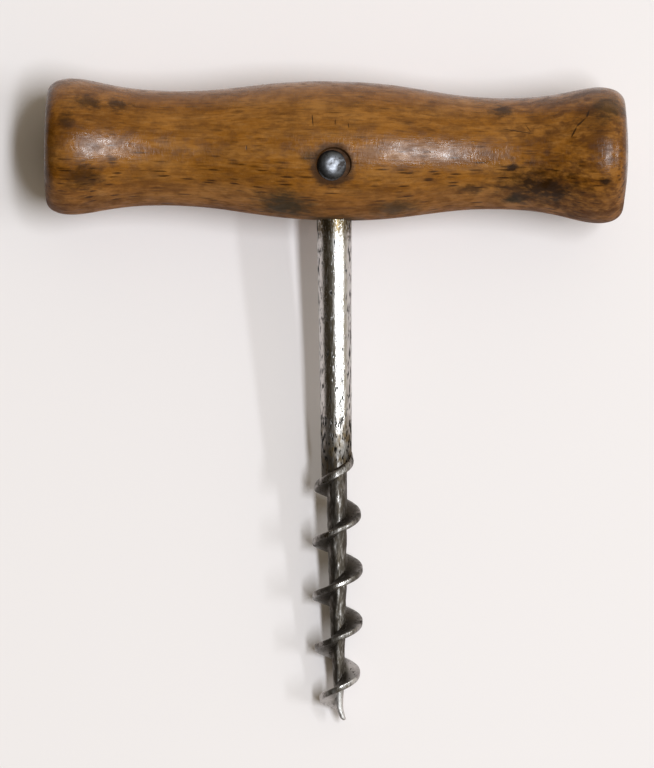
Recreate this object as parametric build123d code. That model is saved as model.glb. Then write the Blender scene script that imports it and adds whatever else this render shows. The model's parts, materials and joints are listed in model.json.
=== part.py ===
from build123d import *
import os
from math import asin, atan2, cos, degrees, hypot, pi, radians, sin, sqrt

# A plain T-handle corkscrew: a turned wooden cross handle, a steel shank with an Archimedean
# worm, and one rivet through both. Millimetres.
# The pieces are made in a tool frame: X along the handle, Y up the shank with the handle's axis
# at 0, Z out of the front. They are then laid on the table as the tool falls, with the handle's
# thickest place and the worm's last full turn touching, and centred over the origin.

# Handle, with the insets measured inwards from its left and right ends
HANDLE_LENGTH = 101.6
SWELL_DIAMETER = 24.35
SWELL_INSET = 50.5
LEFT_CREST_DIAMETER = 23.85
LEFT_CREST_INSET = 4.4
LEFT_NECK_DIAMETER = 19.85
LEFT_NECK_INSET = 21.8
LEFT_FACE_DIAMETER = 18.8
LEFT_FACE_DOME = 0.2
RIGHT_CREST_DIAMETER = 23.4
RIGHT_CREST_INSET = 4.9
RIGHT_NECK_DIAMETER = 19.25
RIGHT_NECK_INSET = 22.4
RIGHT_FACE_DIAMETER = 18.0
RIGHT_FACE_DOME = 0.7

# How long the outline runs flat on each side of a crest, a neck and the swell, as shares of the
# stretch to the next one
CREST_EASE = 0.25
NECK_EASE_TO_CREST = 0.6
NECK_EASE_TO_SWELL = 0.4
SWELL_EASE = 0.48
CORNER_EASE = 0.6

# Shank and tang, one round bar
SHANK_OFFSET = -0.6
SHANK_LEAN = 1.5
TANG_DIAMETER = 6.15
TANG_REACH = 7.0
TANG_CHAMFER = 0.6
BORE_CLEARANCE = 0.02
BORE_END_ROOM = 0.4
DRILL_POINT_ANGLE = 118.0
SHANK_END_DIAMETER = 5.5

# Worm: a right-handed blade round a tapering core, from the shank's end to the point. The blade's
# diameter is given at its first, middle and last turn, and its flanks are hollowed by a share of
# its height half-way through their thickness.
WORM_START = 50.25
WORM_START_ANGLE = 216.0
WORM_TURNS = 5.15
PITCH_FIRST = 10.25
PITCH_LAST = 8.75
BLADE_FIRST_DIAMETER = 7.0
BLADE_DIAMETER = 9.2
BLADE_LAST_DIAMETER = 6.4
BLADE_RISE_TURNS = 1.0
BLADE_FADE_TURNS = 0.45
RIM_THICKNESS = 0.85
ROOT_THICKNESS = 2.0
FLANK_HOLLOW = 0.64
CORE_DIAMETER = 3.75
CORE_END_DIAMETER = 0.9
CORE_TAPER_POWER = 3.0
GROOVE_RISE_TURNS = 0.4
LEAD_IN_TURNS = 0.25
POINT_LENGTH = 1.25
POINT_END_DIAMETER = 0.35
POINT_BEND = 0.9
POINT_BEND_LENGTH = 3.6
SECTIONS_PER_TURN = 12
CORE_ARCS = 3

# Rivet through the handle and the tang
RIVET_DIAMETER = 2.6
RIVET_CLEARANCE = 0.02
RIVET_DROP = 1.95
RIVET_SIDE_SHIFT = -0.2
RIVET_SEAT_DEPTH = 1.1
RIVET_SEAT_DIAMETER = 6.2
HEAD_DIAMETER = 5.2
HEAD_HEIGHT = 1.7
TAIL_DIAMETER = 4.8
TAIL_HEIGHT = 1.0

# Sizes that follow from those
SWELL_RADIUS = SWELL_DIAMETER / 2
REST_RADIUS = max(SWELL_DIAMETER, LEFT_CREST_DIAMETER, RIGHT_CREST_DIAMETER) / 2
LEFT_END = -HANDLE_LENGTH / 2
RIGHT_END = HANDLE_LENGTH / 2
SHANK_END_RADIUS = SHANK_END_DIAMETER / 2
RIVET_X = SHANK_OFFSET + RIVET_SIDE_SHIFT
SEAT_HEIGHT = sqrt(SWELL_RADIUS**2 - RIVET_DROP**2) - RIVET_SEAT_DEPTH
SHANK_TO_TOOL = Pos(SHANK_OFFSET, 0, 0) * Rot(0, 0, SHANK_LEAN) * Rot(-90, 0, 0)
RIVET_TO_TOOL = Pos(RIVET_X, -RIVET_DROP, 0)


def handle_end(end, inwards, crest_diameter, crest_inset, face_diameter, face_dome):
    """Outline from the middle of an end face to the crest, as two curves."""
    face_x = end + inwards * face_dome
    crest_x = end + inwards * crest_inset
    face_r = face_diameter / 2
    crest_r = crest_diameter / 2
    face = Bezier((end, 0), (end, face_r / 2), (face_x, face_r))
    corner_r = face_r + CORNER_EASE * (crest_r - face_r)
    corner_x = crest_x - CORNER_EASE * (crest_x - face_x)
    corner = Bezier((face_x, face_r), (face_x, corner_r), (corner_x, crest_r), (crest_x, crest_r))
    return [face, corner]


def stretch(x0, diameter0, ease0, x1, diameter1, ease1):
    """One stretch of the handle's outline, flat at both ends."""
    run = x1 - x0
    r0 = diameter0 / 2
    r1 = diameter1 / 2
    return Bezier((x0, r0), (x0 + ease0 * run, r0), (x1 - ease1 * run, r1), (x1, r1))


def handle_billet():
    """The turned handle before it is bored."""
    left_crest = LEFT_END + LEFT_CREST_INSET
    left_neck = LEFT_END + LEFT_NECK_INSET
    swell = LEFT_END + SWELL_INSET
    right_neck = RIGHT_END - RIGHT_NECK_INSET
    right_crest = RIGHT_END - RIGHT_CREST_INSET
    outline = handle_end(LEFT_END, 1, LEFT_CREST_DIAMETER, LEFT_CREST_INSET,
                         LEFT_FACE_DIAMETER, LEFT_FACE_DOME)
    outline += [
        stretch(left_crest, LEFT_CREST_DIAMETER, CREST_EASE,
                left_neck, LEFT_NECK_DIAMETER, NECK_EASE_TO_CREST),
        stretch(left_neck, LEFT_NECK_DIAMETER, NECK_EASE_TO_SWELL,
                swell, SWELL_DIAMETER, SWELL_EASE),
        stretch(swell, SWELL_DIAMETER, SWELL_EASE,
                right_neck, RIGHT_NECK_DIAMETER, NECK_EASE_TO_SWELL),
        stretch(right_neck, RIGHT_NECK_DIAMETER, NECK_EASE_TO_CREST,
                right_crest, RIGHT_CREST_DIAMETER, CREST_EASE),
    ]
    outline += handle_end(RIGHT_END, -1, RIGHT_CREST_DIAMETER, RIGHT_CREST_INSET,
                          RIGHT_FACE_DIAMETER, RIGHT_FACE_DOME)
    outline.append(Line((LEFT_END, 0), (RIGHT_END, 0)))
    return revolve(make_face(outline), axis=Axis.X)


def tang_bore():
    """The blind drilled hole for the tang, along the shank's own axis, open at the bottom."""
    bore_r = TANG_DIAMETER / 2 + BORE_CLEARANCE
    bore_top = TANG_REACH + BORE_END_ROOM
    point = bore_r / sin(radians(DRILL_POINT_ANGLE / 2)) * cos(radians(DRILL_POINT_ANGLE / 2))
    bottom = -SWELL_DIAMETER
    outline = Polyline((0, bottom), (bore_r, bottom), (bore_r, bore_top), (0, bore_top + point), close=True)
    return SHANK_TO_TOOL * revolve(Plane.XZ * make_face(outline), axis=Axis.Z)


def rivet_room():
    """The rivet's through hole and a flat seat for each of its heads."""
    through = Cylinder(RIVET_DIAMETER / 2 + RIVET_CLEARANCE, 2 * SWELL_DIAMETER)
    seat = Cylinder(RIVET_SEAT_DIAMETER / 2, SWELL_DIAMETER)
    front = Pos(0, 0, SEAT_HEIGHT + SWELL_RADIUS) * seat
    back = Pos(0, 0, -SEAT_HEIGHT - SWELL_RADIUS) * seat
    return RIVET_TO_TOOL * (through + front + back)


def make_handle():
    return handle_billet() - tang_bore() - rivet_room()


def ease(share):
    """A smooth step from 0 to 1."""
    share = min(1.0, max(0.0, share))
    return share * share * (3 - 2 * share)


def pitch(turn):
    """Advance per turn, which eases evenly from the first turn to the last."""
    return PITCH_FIRST - (PITCH_FIRST - PITCH_LAST) * min(turn, WORM_TURNS) / WORM_TURNS


def reach(turn):
    """Distance from the handle's axis to the blade, and past its end to the point."""
    wound = min(turn, WORM_TURNS)
    return WORM_START + (PITCH_FIRST + pitch(wound)) / 2 * wound + PITCH_LAST * (turn - wound)


BLADE_END = reach(WORM_TURNS)
POINT_END = BLADE_END + POINT_LENGTH
POINT_TURN = WORM_TURNS + POINT_LENGTH / PITCH_LAST


def core_radius(turn):
    """The core tapers, slowly and then fast, and rounds off past the blade's end."""
    share = min(1.0, max(0.0, turn / WORM_TURNS))
    tapered = (CORE_DIAMETER - (CORE_DIAMETER - CORE_END_DIAMETER) * share**CORE_TAPER_POWER) / 2
    past = min(1.0, max(0.0, (reach(turn) - BLADE_END) / POINT_LENGTH))
    return sqrt(tapered**2 * (1 - past**2) + (POINT_END_DIAMETER / 2 * past) ** 2)


def floor_radius(turn, groove_turn):
    """Floor of the groove under the blade, which cuts down from the shank's surface to the core."""
    cut = ease(groove_turn / GROOVE_RISE_TURNS)
    return SHANK_END_RADIUS + (core_radius(turn) - SHANK_END_RADIUS) * cut


def blade_radius(turn):
    """The blade grows out of the shank, swells to its middle turns and runs out at the point."""
    from_middle = 2 * turn / WORM_TURNS - 1
    end_diameter = BLADE_FIRST_DIAMETER if from_middle < 0 else BLADE_LAST_DIAMETER
    full = (BLADE_DIAMETER + (end_diameter - BLADE_DIAMETER) * from_middle**2) / 2
    rim = SHANK_END_RADIUS + (full - SHANK_END_RADIUS) * ease(turn / BLADE_RISE_TURNS)
    core = core_radius(turn)
    return core + (rim - core) * ease((WORM_TURNS - turn) / BLADE_FADE_TURNS)


def worm_section(turn):
    """The closed outline of the worm, square to its axis: blade rim, two flanks and the core."""
    level = -reach(turn)
    bend = min(1.0, max(0.0, 1 - (POINT_END + level) / POINT_BEND_LENGTH))
    side = POINT_BEND * bend**2
    blade_angle = radians(WORM_START_ANGLE - 90) - 2 * pi * turn
    half_rim = pi * RIM_THICKNESS / pitch(turn)
    half_root = pi * ROOT_THICKNESS / pitch(turn)
    half_flank = (half_rim + half_root) / 2
    rim_r = blade_radius(turn)

    def point(angle, radius):
        return (side + radius * cos(blade_angle + angle), radius * sin(blade_angle + angle), level)

    def floor_at(angle):
        return floor_radius(turn, turn - angle / (2 * pi))

    def core_point(angle):
        return point(angle, floor_at(angle))

    def flank_point(angle, root_angle):
        return point(angle, rim_r + (floor_at(root_angle) - rim_r) * FLANK_HOLLOW)

    core_end = 2 * pi - half_root
    core_step = (core_end - half_root) / (2 * CORE_ARCS)
    edges = [
        ThreePointArc(point(-half_rim, rim_r), point(0, rim_r), point(half_rim, rim_r)),
        ThreePointArc(point(half_rim, rim_r), flank_point(half_flank, half_root), core_point(half_root)),
    ]
    for arc in range(CORE_ARCS):
        angles = [half_root + core_step * (2 * arc + step) for step in range(3)]
        edges.append(ThreePointArc(*[core_point(angle) for angle in angles]))
    upper = flank_point(-half_flank, core_end)
    edges.append(ThreePointArc(core_point(core_end), upper, point(-half_rim, rim_r)))
    return Wire(edges)


def worm_turns():
    """The turns at which the worm's outline is drawn, from the shank to the point."""
    span = LEAD_IN_TURNS + POINT_TURN
    count = round(span * SECTIONS_PER_TURN)
    return [span * step / count - LEAD_IN_TURNS for step in range(count + 1)]


def make_worm_shank():
    shank_end = reach(-LEAD_IN_TURNS)
    tang_r = TANG_DIAMETER / 2
    bar_outline = Polyline(
        (0, TANG_REACH),
        (tang_r - TANG_CHAMFER, TANG_REACH),
        (tang_r, TANG_REACH - TANG_CHAMFER),
        (tang_r, -SWELL_RADIUS),
        (SHANK_END_RADIUS, -shank_end),
        (0, -shank_end),
        close=True,
    )
    bar = revolve(Plane.XZ * make_face(bar_outline), axis=Axis.Z)
    worm = Solid.make_loft([worm_section(turn) for turn in worm_turns()])
    forging = SHANK_TO_TOOL * (bar + Part(worm.wrapped))
    return forging - RIVET_TO_TOOL * Cylinder(RIVET_DIAMETER / 2 + RIVET_CLEARANCE, 2 * SWELL_DIAMETER)


def make_rivet():
    """A domed head on the front seat, a body through both pieces, a peened tail on the back."""
    body_r = RIVET_DIAMETER / 2
    head_r = HEAD_DIAMETER / 2
    tail_r = TAIL_DIAMETER / 2
    head_top = SEAT_HEIGHT + HEAD_HEIGHT
    tail_top = -SEAT_HEIGHT - TAIL_HEIGHT
    head_bow = (head_r**2 + HEAD_HEIGHT**2) / (2 * HEAD_HEIGHT)
    tail_bow = (tail_r**2 + TAIL_HEIGHT**2) / (2 * TAIL_HEIGHT)
    outline = [
        RadiusArc((0, head_top), (head_r, SEAT_HEIGHT), head_bow),
        Polyline((head_r, SEAT_HEIGHT), (body_r, SEAT_HEIGHT),
                 (body_r, -SEAT_HEIGHT), (tail_r, -SEAT_HEIGHT)),
        RadiusArc((tail_r, -SEAT_HEIGHT), (0, tail_top), tail_bow),
        Line((0, tail_top), (0, head_top)),
    ]
    return RIVET_TO_TOOL * revolve(Plane.XZ * make_face(outline), axis=Axis.Z)


def rest_tilt():
    """The tilt at which the blade touches the table at the back of one of its turns."""
    tilts = []
    turn = (WORM_START_ANGLE - 180) / 360
    while turn < WORM_TURNS:
        if turn > 0:
            blade_r = blade_radius(turn)
            along = (reach(turn) + RIM_THICKNESS / 2) * cos(radians(SHANK_LEAN))
            tilts.append(asin(REST_RADIUS / hypot(along, blade_r)) - atan2(blade_r, along))
        turn += 1
    return degrees(min(tilts))


pieces = {
    "handle": make_handle(),
    "worm_shank": make_worm_shank(),
    "rivet": make_rivet(),
}

laid = {name: Rot(rest_tilt(), 0, 0) * piece for name, piece in pieces.items()}
boxes = [piece.bounding_box() for piece in laid.values()]
middle_x = (min(box.min.X for box in boxes) + max(box.max.X for box in boxes)) / 2
middle_y = (min(box.min.Y for box in boxes) + max(box.max.Y for box in boxes)) / 2
lowest = min(box.min.Z for box in boxes)
to_origin = Pos(-middle_x, -middle_y, -lowest)

os.makedirs("parts", exist_ok=True)
for name, piece in laid.items():
    placed = to_origin * piece
    export_step(placed, f"parts/{name}.step")
    size = placed.bounding_box()
    print(name, "valid", placed.is_valid, "solids", len(placed.solids()), "volume", round(placed.volume, 2))
    print("  from", size.min, "to", size.max)
print("rest tilt", round(rest_tilt(), 3))
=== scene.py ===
import json
from math import asin, cos, pi, radians, sin, sqrt, tan

import bpy
from bpy.props import FloatProperty, FloatVectorProperty, PointerProperty
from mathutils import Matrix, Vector, noise


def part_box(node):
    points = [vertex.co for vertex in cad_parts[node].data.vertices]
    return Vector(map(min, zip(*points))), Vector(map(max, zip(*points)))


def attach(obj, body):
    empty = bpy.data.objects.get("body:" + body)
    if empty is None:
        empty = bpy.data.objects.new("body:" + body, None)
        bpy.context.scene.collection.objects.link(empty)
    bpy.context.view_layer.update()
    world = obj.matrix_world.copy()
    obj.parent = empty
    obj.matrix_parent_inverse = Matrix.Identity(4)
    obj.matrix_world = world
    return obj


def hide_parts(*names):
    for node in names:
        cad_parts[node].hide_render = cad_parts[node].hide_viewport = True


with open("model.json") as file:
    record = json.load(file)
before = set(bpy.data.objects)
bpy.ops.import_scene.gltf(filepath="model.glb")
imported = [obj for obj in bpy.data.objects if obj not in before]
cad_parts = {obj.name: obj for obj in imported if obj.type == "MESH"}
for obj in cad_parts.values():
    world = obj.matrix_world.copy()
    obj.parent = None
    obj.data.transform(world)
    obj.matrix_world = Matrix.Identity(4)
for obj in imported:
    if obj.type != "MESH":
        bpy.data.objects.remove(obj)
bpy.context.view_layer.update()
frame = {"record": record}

bl_info = {
    "name": "T-handle corkscrew",
    "version": (1, 0, 0),
    "blender": (4, 5, 0),
    "location": "View3D > Sidebar > Corkscrew",
    "description": "Models and finishes a turned T-handle corkscrew around its packed solids",
    "category": "Mesh",
}

MM = 0.001
HANDLE_LOW, HANDLE_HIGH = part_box("handle")
MOUNTS = {mount["name"]: mount for mount in frame["record"]["mounts"]}

# The kinds of node that the finishes use most. The inputs of a Map Range node are, in order, a
# value, where its effect starts, where it is full, and its least and most.
COORDINATES = "ShaderNodeTexCoord"
MATH = "ShaderNodeMath"
VECTOR_MATH = "ShaderNodeVectorMath"
MAP_RANGE = "ShaderNodeMapRange"
NOISE = "ShaderNodeTexNoise"
MIX = "ShaderNodeMix"
BUMP = "ShaderNodeBump"
PRINCIPLED = "ShaderNodeBsdfPrincipled"
SURFACE = "ShaderNodeOutputMaterial"
# Sockets of the colour Mix node, which share their names with the other kinds of mix.
MIX_A, MIX_B, MIX_RESULT = 6, 7, 2


def linear(hex_colour):
    """Turn an sRGB hex colour into the linear colour that Blender works in."""
    channels = [int(hex_colour[i:i + 2], 16) / 255 for i in (1, 3, 5)]
    return tuple(c / 12.92 if c <= 0.04045 else ((c + 0.055) / 1.055) ** 2.4 for c in channels)


def length(name, description, millimetres):
    """A size that a user would change, shown in the scene's unit of length."""
    return FloatProperty(
        name=name,
        description=description,
        default=millimetres * MM,
        precision=5,
        subtype="DISTANCE",
        unit="LENGTH",
    )


def bearing(name, description, degrees):
    """An angle that a user would change."""
    return FloatProperty(
        name=name, description=description, default=radians(degrees), subtype="ANGLE", unit="ROTATION")


def colour(name, description, hex_colour):
    """A colour that a user would change."""
    return FloatVectorProperty(
        name=name,
        description=description,
        default=linear(hex_colour),
        min=0.0,
        max=1.0,
        subtype="COLOR",
    )


def ratio(name, description, share):
    """A share between nothing and all."""
    return FloatProperty(
        name=name, description=description, default=share, min=0.0, max=1.0, subtype="FACTOR")


def number(name, description, value):
    """A plain number, such as turns of the worm."""
    return FloatProperty(name=name, description=description, default=value, min=0.0, subtype="UNSIGNED")


class CorkscrewHandle(bpy.types.PropertyGroup):
    """Sizes and colours of the turned handle"""

    swell_diameter: length("Swell", "Diameter of the swell in the middle", 24.35)
    swell_inset: length("Swell inset", "From the left end to the middle of the swell", 50.5)
    left_crest_diameter: length("Left crest", "Thickest place of the left end", 23.85)
    left_crest_inset: length("Left crest inset", "From the left end to its thickest place", 4.4)
    left_neck_diameter: length("Left neck", "Thinnest place of the left waist", 20.05)
    left_neck_inset: length("Left neck inset", "From the left end to the left waist", 21.8)
    left_face_diameter: length("Left face", "Flat of the left end", 18.8)
    left_face_dome: length("Left face dome", "Height of the left end's crown", 0.2)
    right_crest_diameter: length("Right crest", "Thickest place of the right end", 23.8)
    right_crest_inset: length("Right crest inset", "From the right end to its thickest place", 4.9)
    right_neck_diameter: length("Right neck", "Thinnest place of the right waist", 19.45)
    right_neck_inset: length("Right neck inset", "From the right end to the right waist", 22.4)
    right_face_diameter: length("Right face", "Flat of the right end", 18.0)
    right_face_dome: length("Right face dome", "Height of the right end's crown", 0.7)
    bore_gap: length("Bore gap", "Worn room between the bore's mouth and the shank", 0.1)
    turning_wave: length("Turning wave", "Deepest hollow left by the hand-held tool", 0.08)
    body_colour: colour("Beech", "Oiled beech between the growth rings", "#915A1B")
    pale_colour: colour("Pale beech", "Palest streaks of the beech", "#A9763F")
    deep_colour: colour("Deep beech", "Darkest streaks of the beech", "#502A03")
    fleck_colour: colour("Ray flecks", "Short dark dashes of the beech's rays", "#301600")
    # The stain colour also paints shade in the rivet's seats and round the left end.
    stain_and_shade_colour: colour("Stains", "Old black-brown stains", "#241000")
    smudge_colour: colour("Smudges", "Grey dirt rubbed into the wood", "#32250E")


class CorkscrewWorm(bpy.types.PropertyGroup):
    """Sizes and colours of the steel shank and worm"""

    tang_diameter: length("Tang", "Diameter of the tang and of the shank under the handle", 6.15)
    tang_reach: length("Tang reach", "How far the tang goes past the handle's axis", 7.0)
    tang_chamfer: length("Tang chamfer", "Bevel of the tang's end", 0.6)
    shank_end_diameter: length("Shank end", "Diameter of the shank where the worm starts", 5.5)
    worm_start: length("Worm start", "From the handle's axis to the start of the blade", 50.25)
    start_angle: bearing("Start angle", "Where the blade starts, round from the front", 216)
    worm_turns: number("Turns", "Turns of the blade", 5.15)
    pitch_first: length("First pitch", "Rise of the blade's first turn", 10.25)
    pitch_last: length("Last pitch", "Rise of the blade's last turn", 8.75)
    blade_first_diameter: length("Blade at the start", "Diameter over the blade where it starts", 7.0)
    blade_diameter: length("Blade", "Diameter over the blade in the middle", 9.2)
    blade_last_diameter: length("Blade at the end", "Diameter over the blade where it ends", 6.4)
    blade_rise: number("Blade rise", "Turns that the blade takes to stand up", 1.0)
    blade_fade: number("Blade fade", "Turns that the blade takes to die out", 0.22)
    rim_thickness: length("Rim", "Thickness of the blade at its rim", 1.0)
    rim_first_thickness: length("Rim at the start", "Thickness of the rim where the blade starts", 1.8)
    rim_end_thickness: length("Rim at the end", "Thickness of the rim where the blade ends", 1.2)
    rim_wear: length("Rim wear", "How far the rim's corners are worn down", 0.12)
    rim_nick: length("Rim nicks", "Deepest unevenness of the rim", 0.07)
    root_thickness: length("Root", "Thickness of the blade at its root", 2.0)
    core_diameter: length("Core", "Diameter of the core at the start of the worm", 3.75)
    core_end_diameter: length("Core end", "Diameter of the core where the blade ends", 1.3)
    core_taper: number("Core taper", "Power of the core's taper", 3.0)
    groove_rise: number("Groove rise", "Turns that the groove takes to reach its depth", 0.4)
    lead_in: number("Lead-in", "Turns of plain shank before the blade", 0.25)
    point_length: length("Point", "Length of the bare point", 1.25)
    point_end_diameter: length("Point end", "Diameter of the worn, rounded end", 1.0)
    point_bend: length("Point bend", "How far the point leans aside", 0.9)
    point_bend_length: length("Bend length", "Length over which the point leans", 3.6)
    forging_wave: length("Forging wave", "Deepest hollow of the forged steel", 0.05)
    forging_lump: length("Forging lumps", "Deepest dent of the worm, which was never polished", 0.26)
    steel_colour: colour("Steel", "Polished steel of the shank", "#C6C1BE")
    worm_colour: colour("Worm steel", "Darkened steel of the worm", "#4A443D")
    rim_colour: colour("Worn rim", "Steel that corks keep bright", "#96918E")
    pit_colour: colour("Pits", "Black oxide in the pits", "#17130F")
    rust_colour: colour("Rust", "Brown rust", "#5E4C2A")
    varnish_colour: colour("Varnish", "Old varnish and dirt under the handle", "#54431C")


class CorkscrewRivet(bpy.types.PropertyGroup):
    """Sizes and colours of the rivet and its seats"""

    body_diameter: length("Rivet", "Diameter of the rivet's body", 2.6)
    drop: length("Drop", "From the handle's axis to the rivet, towards the worm", 1.95)
    side_place: length("Side place", "From the handle's middle to the rivet", -0.8)
    seat_depth: length("Seat depth", "Depth of the seat below the wood", 1.1)
    seat_dirt: length("Seat dirt", "Depth of the dirt packed into the front seat", 0.45)
    seat_diameter: length("Seat", "Diameter of the seat at its floor", 5.7)
    seat_flare: length("Seat flare", "How much wider the seat is at its mouth", 1.1)
    seat_shift: length("Seat shift", "How far the front seat is off the rivet", 0.25)
    head_diameter: length("Head", "Diameter of the domed head", 5.5)
    head_height: length("Head height", "Height of the domed head", 1.7)
    flat_depth: length("Flat", "Depth of the hammered flat under the top of the dome", 0.13)
    dome_lean: bearing("Dome's lean", "How far the hammered dome and its flat lean to the right", 9.4)
    tail_diameter: length("Tail", "Diameter of the peened tail", 4.8)
    tail_height: length("Tail height", "Height of the peened tail", 1.0)
    hammer_mark: length("Hammer mark", "Deepest hammer mark on the dome", 0.12)
    iron_colour: colour("Iron", "Dark iron of the rivet", "#58585B")
    # The grime colour also paints shade on the right of the dome.
    grime_and_shade_colour: colour("Grime", "Dirt in the iron's hollows", "#241D17")


class CorkscrewStage(bpy.types.PropertyGroup):
    """Floor, light and camera"""

    floor_size: length("Floor", "Side of the floor", 6000)
    floor_colour: colour("Floor colour", "Plain pale paper", "#F3EAE8")
    lamp_height: length("Lamp height", "From the floor to the lamps", 2600)
    lamp_shift: length("Lamp shift", "From above the handle to the lamps, towards the worm", 75)
    lamp_width: length("Lamp width", "Width of a lamp, across the handle's ends", 285)
    lamp_length: length("Lamp length", "Length of a lamp, along the shank", 1480)
    lamp_share: ratio("Main lamp", "Share of the floor's light from the nearer lamp", 0.702)
    lamp_colour: colour("Lamp colour", "Cool white of the lamps", "#EEF7FF")
    room_left: colour("Room on the left", "Dim brown light from the room's left side", "#3A3326")
    room_right: colour("Room on the right", "Warm light from the room's right side", "#C6C0AD")
    camera_height: length("Camera height", "From the floor to the camera", 900)
    camera_turn: bearing("Camera turn", "Turn of the camera about its own line of sight", 0.95)


# The tool's own directions at rest: down the shank, out of the rivet's head, and across.
SHANK_DOWN = Vector(MOUNTS["hanging_slot"]["axis"]).normalized()
SHANK_LEAN = asin(SHANK_DOWN.x)
TOOL_TILT = asin(-SHANK_DOWN.z / cos(SHANK_LEAN))
HANDLE_RIGHT = Vector((1.0, 0.0, 0.0))
TOOL_FRONT = Vector((0.0, -sin(TOOL_TILT), cos(TOOL_TILT)))
TOOL_UP = Vector((0.0, cos(TOOL_TILT), sin(TOOL_TILT)))
SHANK_RIGHT = SHANK_DOWN.cross(TOOL_FRONT) * -1.0


def handle_axis(handle):
    """The middle of the handle, from its node's box."""
    radius = handle.swell_diameter / 2
    middle = (HANDLE_LOW.x + HANDLE_HIGH.x) / 2
    return Vector((middle, HANDLE_HIGH.y - radius, HANDLE_HIGH.z - radius))


def shank_origin(handle):
    """Where the shank's axis crosses the handle's axis."""
    return Vector(MOUNTS["hanging_slot"]["pos_m"]) - SHANK_DOWN * handle.swell_diameter / 2


def rivet_middle(handle, rivet):
    """The middle of the rivet, level with the handle's axis."""
    return handle_axis(handle) + HANDLE_RIGHT * rivet.side_place - TOOL_UP * rivet.drop


def seat_height(handle, rivet):
    """From the handle's axis to the floor of a rivet seat."""
    return sqrt((handle.swell_diameter / 2) ** 2 - rivet.drop ** 2) - rivet.seat_depth


def clamp(value):
    """Keep a share between nothing and all."""
    return min(max(value, 0.0), 1.0)


def ease(share):
    """Rise smoothly from nothing to all."""
    share = clamp(share)
    return share * share * (3 - 2 * share)


def add_node(tree, kind, inputs=(), **settings):
    """Add a node, give it its settings, and link or set its inputs.

    The inputs are values by socket, or in order from the first socket. A node that is given as a
    value stands for its first output.
    """
    node = tree.nodes.new(kind)
    for name, value in settings.items():
        setattr(node, name, value)
    for socket, value in inputs.items() if isinstance(inputs, dict) else enumerate(inputs):
        if isinstance(value, bpy.types.Node):
            value = value.outputs[0]
        if isinstance(value, bpy.types.NodeSocket):
            tree.links.new(value, node.inputs[socket])
        else:
            node.inputs[socket].default_value = value
    return node


def new_material(name):
    """An empty material with its node tree."""
    material = bpy.data.materials.new(name)
    material.use_nodes = True
    material.node_tree.nodes.clear()
    return material, material.node_tree


def opaque(rgb):
    """A property's colour as a socket takes it."""
    return tuple(rgb) + (1.0,)


def deselect_all():
    """Leave edit mode and select nothing."""
    if bpy.context.object and bpy.context.object.mode != "OBJECT":
        bpy.ops.object.mode_set(mode="OBJECT")
    bpy.ops.object.select_all(action="DESELECT")


def pick(piece):
    """Make a piece the only selected one."""
    deselect_all()
    piece.select_set(True)
    bpy.context.view_layer.objects.active = piece


# How close two points are taken as one: on a spun piece, and on the worm's finer grid.
SPUN_GAP = 0.002 * MM
GRID_GAP = 0.001 * MM


def turn_outline(name, knots, steps_along, steps_round, centre, out, axis):
    """Draw half an outline as a Bezier curve and spin it about an axis into a closed mesh.

    Each knot is (handle before, knot, handle after), each of them (along, out from the axis).
    """
    deselect_all()
    bpy.ops.curve.primitive_bezier_curve_add(location=(0, 0, 0))
    piece = bpy.context.object
    piece.name = name
    points = piece.data.splines[0].bezier_points
    points.add(len(knots) - len(points))
    for point, knot in zip(points, knots):
        before, here, after = (centre + axis * along + out * far for along, far in knot)
        point.handle_left_type = point.handle_right_type = "FREE"
        point.co = here
        point.handle_left = before
        point.handle_right = after
    piece.data.resolution_u = steps_along
    bpy.ops.object.convert(target="MESH")
    bpy.ops.object.mode_set(mode="EDIT")
    bpy.ops.mesh.select_all(action="SELECT")
    bpy.ops.mesh.spin(steps=steps_round, angle=2 * pi, center=centre, axis=axis)
    bpy.ops.mesh.select_all(action="SELECT")
    bpy.ops.mesh.remove_doubles(threshold=SPUN_GAP)
    bpy.ops.mesh.normals_make_consistent(inside=False)
    bpy.ops.object.mode_set(mode="OBJECT")
    return piece


def hollow_surface(piece, name, depth, size):
    """Press shallow hollows into a surface, never outwards."""
    texture = bpy.data.textures.new(name, "CLOUDS")
    texture.noise_scale = size
    pick(piece)
    bpy.ops.object.modifier_add(type="DISPLACE")
    modifier = piece.modifiers[-1]
    modifier.texture = texture
    modifier.texture_coords = "LOCAL"
    modifier.mid_level = 1.0
    modifier.strength = depth
    bpy.ops.object.modifier_apply(modifier=modifier.name)


def cut(piece, cutter):
    """Cut one mesh out of another and throw the cutter away."""
    pick(piece)
    bpy.ops.object.modifier_add(type="BOOLEAN")
    modifier = piece.modifiers[-1]
    modifier.operation = "DIFFERENCE"
    modifier.solver = "EXACT"
    modifier.object = cutter
    bpy.ops.object.modifier_apply(modifier=modifier.name)
    pick(cutter)
    bpy.ops.object.delete()


def finish_piece(piece, material, node, smooth_angle):
    """Shade a piece, give it its finish and put it in its node's place."""
    pick(piece)
    bpy.ops.object.shade_smooth_by_angle(angle=smooth_angle)
    piece.data.materials.clear()
    piece.data.materials.append(material)
    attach(piece, "root")
    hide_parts(node)


# How far a Bezier handle goes towards the next place of the handle's outline, as a share.
CORNER_EASE = 0.6
CREST_EASE = 0.25
NECK_TO_CREST = 0.6
NECK_TO_SWELL = 0.4
SWELL_EASE = 0.48


def outline_end(end, inward, crest_diameter, crest_inset, face_diameter, face_dome):
    """The corners of one end of the handle, from its pole to its crest."""
    face = end + inward * face_dome
    crest = end + inward * crest_inset
    face_radius = face_diameter / 2
    crest_radius = crest_diameter / 2
    pole = ((end, 0), (end, 0), (end, face_radius / 3))
    edge = (
        (end + (face - end) / 3, face_radius * 2 / 3),
        (face, face_radius),
        (face, face_radius + CORNER_EASE * (crest_radius - face_radius)),
    )
    lead = (crest - CORNER_EASE * (crest - face), crest_radius)
    return pole, edge, lead, (crest, crest_radius)


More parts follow.
